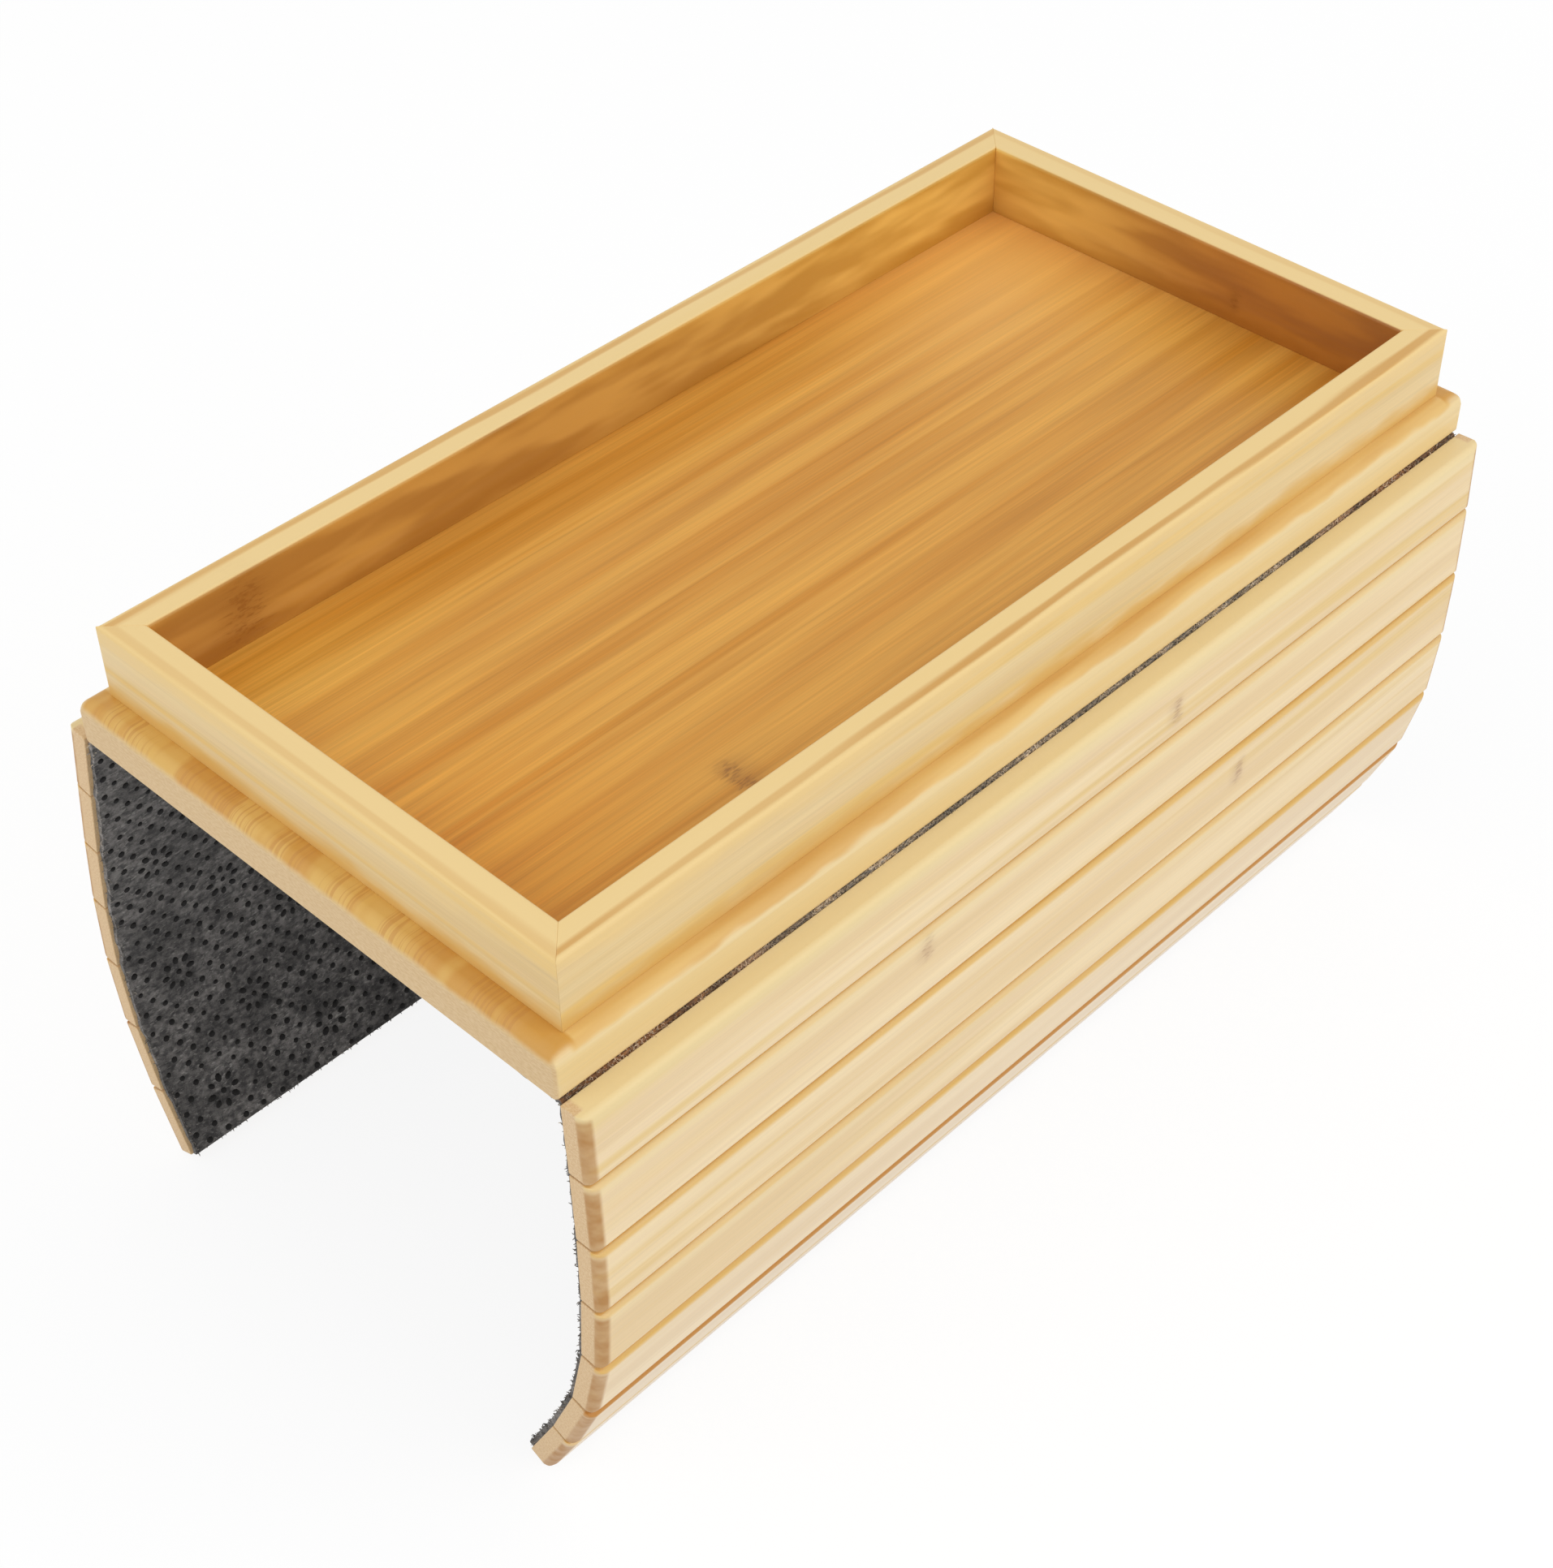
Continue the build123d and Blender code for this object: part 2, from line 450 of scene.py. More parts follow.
# %% [markdown]
# ### The board's finishes
# The board shows in two places. Outside the walls the upper half of its ledge is golden,
# along the long sides with painted shade from the corner where the walls stand on it, and
# the lower half pale. On the short sides the grain is cut short, so it shows as dashes
# across the golden strip. Inside, the tray's floor is a deep caramel with fine long lines,
# the caramel partly painted shade of the tray's inside, with painted light at the far end,
# and at the near end painted shade towards the right wall and painted light towards the left.

# %% Ledge and floor finishes
board_half = half_length / MM
board_side = half_width / MM
board_rise = (board_high.z - board_low.z) / MM
ledge_tones = (paint(237, 211, 160), paint(230, 201, 146), paint(232, 204, 156), paint(231, 195, 124))
# The floor's caramel tones are partly the board's colour and partly painted shade of the tray's inside.
floor_tones = (paint(226, 170, 78), paint(208, 146, 56), paint(215, 155, 66), paint(204, 139, 44))


def cut_grain(finish, wood):
    """The golden end of the ledge, in blocks, with patches of dashes where the grain ends."""
    blocks = finish.step(finish.noise(wood, (60, 11, 60), 41.0), 0.44, 0.56)
    dashes = finish.step(finish.noise(wood, (26, 0.9, 26), 42.0), 0.5, 0.42)
    dashed = finish.step(finish.noise(wood, (80, 16, 80), 43.0), 0.44, 0.56)
    colour = finish.mix(blocks, paint(222, 177, 91), paint(209, 152, 64))
    return finish.mix(dashes * dashed * 0.6, colour, paint(196, 134, 58))


def ledge_finish():
    """The board outside the walls, with painted shade along the walls' foot."""
    finish = Finish("bamboo_ledge_finish")
    colour, height, wood = bamboo(finish, ledge_tones)
    along, across, through = finish.axes("grain")
    from_end = board_half - abs(along)
    from_side = board_side - abs(across)
    ragged = finish.noise(wood, (20, 8, 8), 40.0)
    below_top = board_rise - through
    drop = below_top + 3.4 * (ragged - 0.5)
    colour = finish.mix(finish.step(drop, 1.4, 3.0) * 0.5, colour, paint(238, 214, 160))
    drift = finish.step(finish.noise(wood, (50, 5, 5), 45.0), 0.35, 0.65)
    # Painted shade: a golden band down the ledge from the corner where the wall stands on it.
    foot_shade = finish.step(drop, 2.7, 1.3) * finish.step(from_end, 5.4, 7.6)
    foot_shade_colour = finish.mix(drift, paint(231, 190, 112), paint(220, 171, 90))
    colour = finish.mix(foot_shade * 0.85, colour, foot_shade_colour)
    end_strip = finish.step(from_end, 8.6, 7.4) * finish.step(from_side, 0.6, 3.0)
    on_end = end_strip * finish.step(below_top + 1.4 * (ragged - 0.5), 4.4, 1.6)
    colour = finish.mix(on_end * 0.9, colour, cut_grain(finish, wood))
    cut_end = finish.step(from_end, 0.9, 0.3) * (1 - on_end)
    speckle = finish.noise(finish.attribute("grain", "Vector"), (0.7, 1.6, 0.5), 44.0)
    cut_colour = finish.mix(finish.step(speckle, 0.3, 0.7), paint(209, 175, 126), paint(221, 191, 146))
    colour = finish.mix(cut_end * 0.9, colour, cut_colour)
    return lacquer(finish, colour, height)


def floor_finish():
    """The board inside the walls, partly painted shade, with painted light and shade at its ends."""
    finish = Finish("bamboo_floor_finish")
    colour, height, wood = bamboo(finish, floor_tones, contrast=2.0)
    along, across, _ = finish.axes("grain")
    # Painted light and shade at the near end: shade towards the right wall, light towards the left one.
    near = finish.step(along, -80, -170)
    near_light_and_shade = finish.mix(finish.step(across, -40, 60), (1.05, 0.88, 0.5, 1.0), (1.15, 1.2, 1.1, 1.0))
    colour = finish.tinted(colour, finish.mix(near, (0.99, 0.94, 0.86, 1.0), near_light_and_shade))
    # Painted light: the far end of the floor is paler and brighter.
    far = finish.step(along, 40, 160) * finish.step(across, -20, 60)
    colour = finish.mix(far * 0.5, colour, paint(238, 190, 112))
    colour = finish.scaled(colour, 1 + 0.16 * far)
    colour = knuckle(finish, colour, wood, paint(140, 88, 38))
    return lacquer(finish, colour, height, gloss=0.42)


bamboo_ledge = ledge_finish()
bamboo_floor = floor_finish()
print("finishes", bamboo_ledge.name, "and", bamboo_floor.name)

# %% [markdown]
# ## Working in edit mode
# Wood is sawn, then its edges are routed. The same two steps shape the meshes: a box is
# added at its real size, cut with bisect where the real one is mitred, and each edge is
# given a bevel weight, which says how large a router bit rounds it. One Bevel modifier
# then rounds all edges at once, so edges of different sizes still meet cleanly.


# %% Helpers for edit mode
wood_sharp_angle = math.radians(40)


def start_box(name, low, high):
    """A plain box between two corners, as sawn."""
    bpy.ops.object.select_all(action="DESELECT")
    low, high = Vector(low), Vector(high)
    bpy.ops.mesh.primitive_cube_add(size=1, location=(low + high) / 2, scale=high - low)
    bpy.ops.object.transform_apply(location=True, rotation=True, scale=True)
    piece = bpy.context.object
    piece.name = name
    return piece


def pick(piece, kind, test):
    """In edit mode, selects just the vertices, edges or faces that pass the test."""
    bpy.ops.mesh.select_mode(type=kind)
    bpy.ops.mesh.select_all(action="DESELECT")
    shape = bmesh.from_edit_mesh(piece.data)
    parts = {"VERT": shape.verts, "EDGE": shape.edges, "FACE": shape.faces}[kind]
    for part in parts:
        if test(part):
            part.select_set(True)
    shape.select_flush_mode()
    bmesh.update_edit_mesh(piece.data)


def is_along(run, axis):
    """True if a direction lies close to the axis 0, 1 or 2."""
    return abs(run[axis]) > 0.9


def apply_modifier(piece, kind, **settings):
    """Adds a modifier with these settings and applies it."""
    bpy.ops.object.select_all(action="DESELECT")
    bpy.context.view_layer.objects.active = piece
    piece.select_set(True)
    bpy.ops.object.modifier_add(type=kind)
    modifier = piece.modifiers[-1]
    for setting, value in settings.items():
        setattr(modifier, setting, value)
    bpy.ops.object.modifier_apply(modifier=modifier.name)


def route_edges(piece, radii, segments=6):
    """Rounds edges: radii pairs a test on edges with a radius, and a later pair wins."""
    largest = max(radius for test, radius in radii)
    weights = piece.data.attributes.new("bevel_weight_edge", "FLOAT", "EDGE")
    vertices = piece.data.vertices
    for edge in piece.data.edges:
        ends = [vertices[index].co for index in edge.vertices]
        for test, radius in radii:
            if test((ends[0] + ends[1]) / 2, (ends[1] - ends[0]).normalized()):
                weights.data[edge.index].value = radius / largest
    apply_modifier(
        piece,
        "BEVEL",
        width=largest,
        segments=segments,
        limit_method="WEIGHT",
        use_clamp_overlap=False,
    )
    bpy.ops.object.shade_smooth_by_angle(angle=wood_sharp_angle)
    apply_modifier(piece, "WEIGHTED_NORMAL", keep_sharp=True)


# %% [markdown]
# Each wooden piece carries a few plain values for its finish beside its grain: its batch,
# its tone, where 0 is golden, 1 pale and 2 bleached, which on the lowest right slats also
# paints the glare on them, how ochre its edges are, where more than 1 is brown, which on the
# slats is partly painted shade from the slat above, and how far each point is from the
# knuckle, counted in the knuckle's own half sizes. A piece without a knuckle has it at a
# place that lies off the piece.


# %% What a wooden piece carries
def carry(piece, name, values, kind="FLOAT", field="value"):
    """Writes one value for each point of a piece."""
    attribute = piece.data.attributes.new(name, kind, "POINT")
    attribute.data.foreach_set(field, np.asarray(values, np.float32).ravel())


def points_of(piece):
    """A piece's points, one row each."""
    found = np.zeros(3 * len(piece.data.vertices))
    piece.data.vertices.foreach_get("co", found)
    return found.reshape(-1, 3)


Wood = namedtuple("Wood", "batch tone ochre knuckle_at knuckle_size")


def mark_grain(piece, axes, start, wood):
    """Writes each point's place along, across and through the piece, in millimetres."""
    points = points_of(piece) - np.array(start)
    grain = np.column_stack([points @ np.array(axis) for axis in axes]) / MM
    away = (grain[:, :2] - np.array(wood.knuckle_at)) / np.array(wood.knuckle_size)
    carry(piece, "grain", grain, "FLOAT_VECTOR", "vector")
    carry(piece, "from_knuckle", np.column_stack([away, 0 * away[:, 0]]), "FLOAT_VECTOR", "vector")
    for name, value in (("batch", wood.batch), ("tone", wood.tone), ("ochre", wood.ochre)):
        carry(piece, name, np.full(len(points), value))


def settle(piece, body, slot, *nodes):
    """Gives a finished piece its body and hides the nodes that it stands for. The slot is not used."""
    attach(piece, body)
    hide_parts(*nodes)


# %% [markdown]
# ## The board
# The real board is one panel with its upper edge routed all round. Its lower long edges
# are eased too, because the felt folds round them. The part of its top that the walls
# enclose gets the floor's finish, so that face is first inset to the middle of the walls.

# %% Board
board_top_radius = 4 * MM
board_low_radius = 2 * MM
board_corner_radius = 1.6 * MM
fine_edge = 0.3 * MM
large_area = 0.01


def make_board():
    """The base board with its routed edges and the tray's floor."""
    piece = start_box("board", board_low, board_high)
    top = board_high.z
    low = board_low.z
    route_edges(
        piece,
        [
            (lambda at, run: True, fine_edge),
            (lambda at, run: is_along(run, 2), board_corner_radius),
            (lambda at, run: at.z > top - MM, board_top_radius),
            (lambda at, run: at.z < low + MM and is_along(run, 0), board_low_radius),
        ],
        segments=8,
    )
    bpy.ops.object.mode_set(mode="EDIT")
    pick(piece, "FACE", lambda face: face.normal.z > 0.999 and face.calc_area() > large_area)
    inset = half_width - board_top_radius - (tray_half_width - wall_thickness / 2)
    bpy.ops.mesh.inset(thickness=inset, use_even_offset=True)
    end_slack = (half_length - tray_half_length) - (half_width - tray_half_width)
    stretch = 1 - end_slack / (half_length - board_top_radius - inset)
    bpy.ops.transform.resize(value=(stretch, 1, 1), center_override=(0, 0, top))
    bpy.ops.object.mode_set(mode="OBJECT")
    floor = [face for face in piece.data.polygons if face.select]
    piece.data.materials.append(bamboo_ledge)
    piece.data.materials.append(bamboo_floor)
    for face in floor:
        face.material_index = 1
    print("board with", len(piece.data.polygons), "faces, of which", len(floor), "are the floor")
    return piece


board = make_board()
board_wood = Wood(0.37, 0.9, 0.0, (-88, -56), (4, 9))
mark_grain(board, ((1, 0, 0), (0, 1, 0), (0, 0, 1)), (0, 0, board_low.z), board_wood)
settle(board, "tray", "bamboo_board", "base_board")

# %% [markdown]
# ## The walls
# Four walls meet in mitres. Each is sawn from a bar with two 45 degree cuts, which bisect
# does, and then its rim is rounded. The mitre's own edges get a hair of a bevel, because
# a real glued corner shows as a fine line. The two long walls are alike and so are the
# short ones, so each kind is modelled once and its copy is turned round. A wall carries
# two values more: its half length, and how much painted shade its inner face takes towards
# one end, which is the end at plus X before the turn, or the other one if the value is
# negative, while the other end gets painted light.

# %% Walls
rim_radius = 1.2 * MM
mitre_edge = 0.16 * MM


def saw(piece, at, normal):
    """Cuts off what lies beyond a plane, and closes the cut."""
    bpy.ops.object.mode_set(mode="EDIT")
    bpy.ops.mesh.select_all(action="SELECT")
    bpy.ops.mesh.bisect(plane_co=at, plane_no=normal, use_fill=True, clear_outer=True)
    bpy.ops.object.mode_set(mode="OBJECT")


def make_wall(name, along, across):
    """A wall along X whose outer face is at -across, mitred at both ends."""
    low = (-along, -across, ledge_height)
    high = (along, wall_thickness - across, rim_height)
    piece = start_box(name, low, high)
    saw(piece, (along, -across, 0), (1, 1, 0))
    saw(piece, (-along, -across, 0), (-1, 1, 0))
    top = rim_height - MM
    route_edges(
        piece,
        [
            (lambda at, run: True, mitre_edge),
            (lambda at, run: at.z > top and is_along(run, 0), rim_radius),
        ],
        segments=5,
    )
    piece.data.materials.append(bamboo_wall)
    axes = ((1, 0, 0), (0, 0, 1), (0, 1, 0))
    return piece, axes, (0, -across, ledge_height)


def copied(piece, name):
    """A copy of a piece with its own mesh."""
    copy = piece.copy()
    copy.data = piece.data.copy()
    copy.name = name
    bpy.context.scene.collection.objects.link(copy)
    return copy


def wall_pair(along, across, walls):
    """Two opposite walls from one model: their names, turns, painted shaded ends and wood."""
    model, axes, start = make_wall("wall_model", along, across)
    for name, degrees, shaded_end, wood in walls:
        piece = copied(model, f"{name}_bamboo")
        mark_grain(piece, axes, start, wood)
        for value_name, value in (("half_along", along / MM), ("shaded_end", shaded_end)):
            carry(piece, value_name, np.full(len(piece.data.vertices), value))
        piece.data.transform(Matrix.Rotation(math.radians(degrees), 4, "Z"))
        settle(piece, "tray", "bamboo_wall", name)
        print(piece.name, "with", len(piece.data.polygons), "faces")
    bpy.data.objects.remove(model)


off_piece = (-300, 0)
any_size = (1, 1)
# A wall's third value sets how much painted shade its inner face takes towards one end.
long_walls = [
    ("wall_right", 0, -0.65, Wood(0.11, 0.6, 1.0, off_piece, any_size)),
    ("wall_left", 180, 0.65, Wood(0.56, 0.6, 0.7, (140, 11), (9, 13))),
]
short_walls = [
    ("wall_near_end", -90, 0.65, Wood(0.73, 0.8, 0.3, off_piece, any_size)),
    ("wall_far_end", 90, -1.0, Wood(0.92, 0.8, 0.3, (-20, 8), (2, 5))),
]
wall_pair(tray_half_length, tray_half_width, long_walls)
wall_pair(tray_half_width, tray_half_length, short_walls)

# %% [markdown]
# ## The slats
# Fourteen slats are alike, so one is modelled lying flat beside its hinge line, felt side
# down. A half-round bit has run over both ends of its outer face, a smaller one along
# the long edges, and sandpaper over the rest. Each copy takes its grain while it still
# lies flat, and is then turned to hang where its hinge and the hinges above put it.

# %% One slat
slat_end_radius = 3 * MM
slat_long_radius = 2 * MM


def make_slat():
    """A slat lying flat along X, from its hinge line towards +Y."""
    low = (-half_length, slat_gap / 2, 0)
    high = (half_length, slat_pitch - slat_gap / 2, slat_thickness)
    piece = start_box("slat_model", low, high)
    top = slat_thickness - MM
    route_edges(
        piece,
        [
            (lambda at, run: True, fine_edge),
            (lambda at, run: at.z > top and is_along(run, 0), slat_long_radius),
            (lambda at, run: at.z > top and is_along(run, 1), slat_end_radius),
        ],
    )
    piece.data.materials.append(bamboo_slat)
    return piece


def hang(side, hinge):
    """Takes a flat slat to its place on the flap at this side of the tray."""
    half_turn = math.pi if side < 0 else 0.0
    fold = Matrix.Rotation(-side * hinge.after, 4, "X")
    return Matrix.Translation(hinge.at) @ fold @ Matrix.Rotation(half_turn, 4, "Z")


# %% All slats
# The right flap's lowest slats get the highest tones, which also paint the glare on them.
slat_tone = {
    "right": (0.35, 1.05, 0.9, 1.0, 1.4, 1.6, 2.0),
    "left": (0.6, 0.7, 0.8, 0.8, 0.9, 0.9, 1.0),
}
# How ochre each slat's upper edge is: deeper layers, and painted shade from the slat above that grows
# with the fold.
slat_edge_ochre_and_shade = (0.0, 0.4, 0.9, 0.6, 0.9, 1.8, 0.7)
slat_knuckle = {
    "right": ((-39, 15), (66, 6), (-74, 10), off_piece, off_piece, off_piece, off_piece),
    "left": ((30, 12), off_piece, (80, 15), (-20, 6), off_piece, (-90, 9), off_piece),
}
slat_knuckle_size = (2.5, 6)
slat_batch_step = 0.053
left_batch = 0.4
slat_model = make_slat()
for name, (side, hinges) in flaps.items():
    for number, hinge in enumerate(hinges):
        slat = copied(slat_model, f"slat_{name}_{number + 1}_bamboo")
        batch = slat_batch_step * (number + 1) + (left_batch if side > 0 else 0.0)
        tone, ochre, mark = slat_tone[name][number], slat_edge_ochre_and_shade[number], slat_knuckle[name][number]
        wood = Wood(batch, tone, ochre, mark, slat_knuckle_size)
        mark_grain(slat, ((1, 0, 0), (0, 1, 0), (0, 0, 1)), (0, 0, 0), wood)
        slat.data.transform(hang(side, hinge))
        settle(slat, f"{name}_slat_{number + 1}", "bamboo_slat", f"slat_{name}_{number + 1}")
print("slats hung, each with", len(slat_model.data.polygons), "faces")
bpy.data.objects.remove(slat_model)

# %% [markdown]
# ## The felt's finish
# Needle felt is a mat of short fibres, dark grey with paler lint in it. From near it is
# mottled at two sizes, and it has no shine, only the soft glow that fibres give at a
# glancing angle, which is the shader's sheen. The pattern is read from the place on the
# flat sheet, in millimetres, so it runs on over the folds. In the gap between the board
# and the first slat the felt is painted pale, painted light on its fuzz, and painted a
# shaded brown towards the tray's ends.


# %% Felt and rubber finishes
def felt_finish():
    """Mottled dark grey needle felt with paler lint, and painted light and shade in the gap."""
    finish = Finish("felt_finish")
    flat = finish.attribute("flat_place", "Vector")
    tufts = finish.noise(flat, (2.6, 2.0, 2.0), 50.0, detail=4.0, roughness=0.65)
    fuzz = finish.noise(flat, (0.55, 0.45, 0.45), 51.0, detail=3.0, roughness=0.7)
    clouds = finish.step(finish.noise(flat, (11, 9, 9), 52.0, detail=3.0), 0.34, 0.66)
    colour = finish.mix(finish.step(tufts, 0.34, 0.66), paint(70, 68, 67), paint(132, 128, 125))
    lint = finish.step(finish.noise(flat, (1.8, 0.8, 0.8), 53.0, detail=3.0), 0.56, 0.7)
    colour = finish.mix(lint * 0.6, colour, paint(176, 172, 167))
    along, from_middle, above = finish.axes("flat_place")
    from_root = abs(abs(from_middle) - root_distance / MM)
    # Painted light and shade in the gap: pale where light falls on the fuzz, brown towards the tray's
    # ends.
    in_gap = finish.step(from_root, 3.0, 2.2) * finish.step(above, -0.6, -0.2)
    worn = finish.step(finish.noise(flat, (1.6, 0.6, 0.6), 54.0, detail=3.0), 0.4, 0.58)
    to_shade_at_ends = finish.step(abs(along), 80, 150)
    gap_light_and_shade = finish.mix(to_shade_at_ends, paint(214, 194, 166), paint(158, 108, 62))
    unpainted_share = (1 - worn) * (1 - 0.6 * to_shade_at_ends)
    colour = finish.mix(in_gap * (1 - 0.85 * unpainted_share), colour, gap_light_and_shade)
    # Pale fibres: lint, and in the gap also painted light on them.
    colour = finish.mix(finish.attribute("lint"), colour, paint(214, 198, 174))
    light = 0.62 + 0.7 * clouds + 0.9 * (fuzz - 0.5)
    height = 0.5 * tufts + 0.5 * fuzz
    bump = finish.node("ShaderNodeBump", None, {"Strength": 0.8, "Distance": 0.0005, "Height": height})
    values = {
        "Base Color": finish.scaled(colour, light),
        "Roughness": 1.0,
        "Specular IOR Level": 0.15,
        "Sheen Weight": 0.25,
        "Sheen Roughness": 0.6,
        "Normal": bump,
    }
    shader = finish.node("ShaderNodeBsdfPrincipled", None, values)
    finish.node("ShaderNodeOutputMaterial", None, {"Surface": shader})
    return finish.made


def rubber_finish():
    """The near-black rubber of the grip dots, dusty with lint."""
    finish = Finish("rubber_finish")
    flat = finish.attribute("flat_place", "Vector")
    dust = finish.noise(flat, (0.9, 0.8, 0.8), 60.0, detail=3.0)
    colour = finish.mix(finish.step(dust, 0.45, 0.8), paint(17, 15, 14), paint(44, 42, 40))
    values = {"Base Color": colour, "Roughness": 0.5 + 0.3 * dust, "Specular IOR Level": 0.25}
    shader = finish.node("ShaderNodeBsdfPrincipled", None, values)
    finish.node("ShaderNodeOutputMaterial", None, {"Surface": shader})
    return finish.made


felt_grey = felt_finish()
rubber_black = rubber_finish()
print("finishes", felt_grey.name, "and", rubber_black.name)

# %% [markdown]
# ## The felt sheet
# On the real tray the felt is one sheet. To fold with the slats it is cut here where
# nothing shows: one sheet under the board, and for each slat one sheet that starts with
# the fold above it. Each is made flat, at the size it would be cut to, and then laid on
# the folded flap by bending its points. Between two slats the felt turns in an arc that
# just touches both, so no crease is sharper than the felt is thick.


# %% Where a point of the flat sheet goes
least_fold = 1e-4


def run_of(side, turn):
    """The direction down a slat with this turn."""
    return Vector((0, side * math.cos(turn), -math.sin(turn)))


def out_of(side, turn):
    """The direction out of a slat's outer face with this turn."""
    return Vector((0, side * math.sin(turn), math.cos(turn)))


def folded(side, hinge, distance, depth):
    """The place of a point so far past the hinge line and so deep below the glued face."""
    run = run_of(side, hinge.after)
    out = out_of(side, hinge.after)
    fold = hinge.after - hinge.before
    if distance >= hinge.setback or fold < least_fold:
        return hinge.at + run * distance - out * depth
    radius = hinge.setback / math.tan(fold / 2)
    share = (distance + hinge.setback) / (2 * hinge.setback)
    turn = hinge.before + fold * share
    centre = hinge.at + run_of(side, hinge.before) * -hinge.setback - out_of(side, hinge.before) * radius
    return centre + out_of(side, turn) * (radius - depth)


# %% Flat felt
felt_cell = 3.2 * MM
felt_wave = 0.12 * MM


def flat_felt(name, start, end):
    """A felt strip's lower face, flat: X along the tray, Y from start to end past the hinge."""
    bpy.ops.object.select_all(action="DESELECT")
    columns = round(2 * felt_half_length / felt_cell)
    rows = max(round((end - start) / felt_cell), 2)
    middle = (0, (start + end) / 2, -felt_thickness)
    bpy.ops.mesh.primitive_grid_add(x_subdivisions=columns, y_subdivisions=rows, size=1, location=middle)
    bpy.ops.transform.resize(value=(2 * felt_half_length, end - start, 1), center_override=middle)
    bpy.ops.object.transform_apply(location=True, rotation=True, scale=True)
    piece = bpy.context.object
    piece.name = name
    return piece


# %% [markdown]
# Rubber dots are printed on the felt in staggered rows, so that the tray doesn't slide.
# Here and there eight longer dots stand in a ring round a middle dot and take the place
# of their neighbours. One dot is modelled, with few faces because it is repeated
# thousands of times, and its points are then copied to every place in the pattern.

# %% One grip dot
dot_radius = 1.0 * MM
dot_height = 0.4 * MM
dot_side = 0.7 * dot_height
dot_taper = 0.9
dot_inset = 0.3 * dot_radius
dot_corners = 8
dot_drift = 0.12 * MM
dot_sizes = (0.85, 1.15)


def make_dot():
    """A low dome, as printed rubber sets: a short side and a raised, rounded top."""
    bpy.ops.object.select_all(action="DESELECT")
    bpy.ops.mesh.primitive_circle_add(vertices=dot_corners, radius=dot_radius, fill_type="NGON")
    piece = bpy.context.object
    bpy.ops.object.mode_set(mode="EDIT")
    bpy.ops.mesh.select_all(action="SELECT")
    bpy.ops.mesh.extrude_region_move(TRANSFORM_OT_translate={"value": (0, 0, dot_side)})
    bpy.ops.transform.resize(value=(dot_taper, dot_taper, 1), center_override=(0, 0, 0))
    bpy.ops.mesh.inset(thickness=dot_inset)
    bpy.ops.transform.translate(value=(0, 0, dot_height - dot_side))
    pick(piece, "FACE", lambda face: face.normal.z < -0.9)
    bpy.ops.mesh.delete(type="FACE")
    bpy.ops.object.mode_set(mode="OBJECT")
    print("dot with", len(piece.data.polygons), "faces")
    return piece


dot_model = make_dot()
dot_points = points_of(dot_model)
dot_faces = [list(face.vertices) for face in dot_model.data.polygons]
bpy.data.objects.remove(dot_model)

# %% The pattern of the dots
dot_spacing = 7.13 * MM
row_spacing = 3.93 * MM
ring_columns = 6
ring_rows = 12
ring_dots = 8
ring_radius = 4.6 * MM
ring_stretch = 1.45
edge_margin = 1.6 * dot_radius
pattern_start = (-169.9 * MM, 207.4 * MM)


def is_ring(column, row):
    """True where a ring of dots has its middle. Columns are half a dot spacing apart."""
    wide, tall = 2 * ring_columns, ring_rows
    first = column % wide == 0 and row % tall == 0
    second = (column - ring_columns) % wide == 0 and (row - ring_rows // 2) % tall == 0
    return first or second


def by_ring(column, row):
    """True where a ring takes the place of a plain dot."""
    near = [(1, 1), (1, -1), (-1, 1), (-1, -1), (2, 0), (-2, 0), (0, 2), (0, -2)]
    return any(is_ring(column + right, row + up) for right, up in near)


def dot_places(low, high):
    """The dots between two distances from the sheet's middle line: place, turn and stretch."""
    places = []
    half_step = dot_spacing / 2
    most_columns = math.ceil(2 * felt_half_length / half_step)
    first_row = math.floor((low - pattern_start[1]) / row_spacing)
    last_row = math.ceil((high - pattern_start[1]) / row_spacing)
    for row in range(first_row, last_row + 1):
        for column in range(-most_columns, most_columns):
            if (column + row) % 2 or by_ring(column, row):
                continue
            x = pattern_start[0] + column * half_step
            y = pattern_start[1] + row * row_spacing
            places.append((x, y, 0.0, 1.0))
            if is_ring(column, row):
                for number in range(ring_dots):
                    angle = 2 * math.pi * number / ring_dots
                    ring_x = x + ring_radius * math.cos(angle)
                    ring_y = y + ring_radius * math.sin(angle)
                    places.append((ring_x, ring_y, angle, ring_stretch))
    limit = felt_half_length - edge_margin
    return [place for place in places if abs(place[0]) < limit and low <= place[1] < high]


half_sheet = root_distance + slat_count * slat_pitch
print("dots on the whole sheet:", len(dot_places(-half_sheet, half_sheet)))

# %% [markdown]
# Cut felt sheds fibres: its edges are ragged, and a fringe of them shows in the gap
# between the board and the first slat. One fibre is modelled, three-sided and bent, and
# copied with its own turn and length along every cut edge.

# %% One stray fibre
fibre_radius = 0.2 * MM
fibre_length = 1.1 * MM
fibre_bends = ((0.3, 0.8), (-0.15, 0.4))
fibre_sizes = (0.5, 1.25)
fibre_spread = 0.55
end_fibre_spacing = 0.25 * MM
hem_fibre_spacing = 0.6 * MM
gap_fibre_spacing = 0.16 * MM


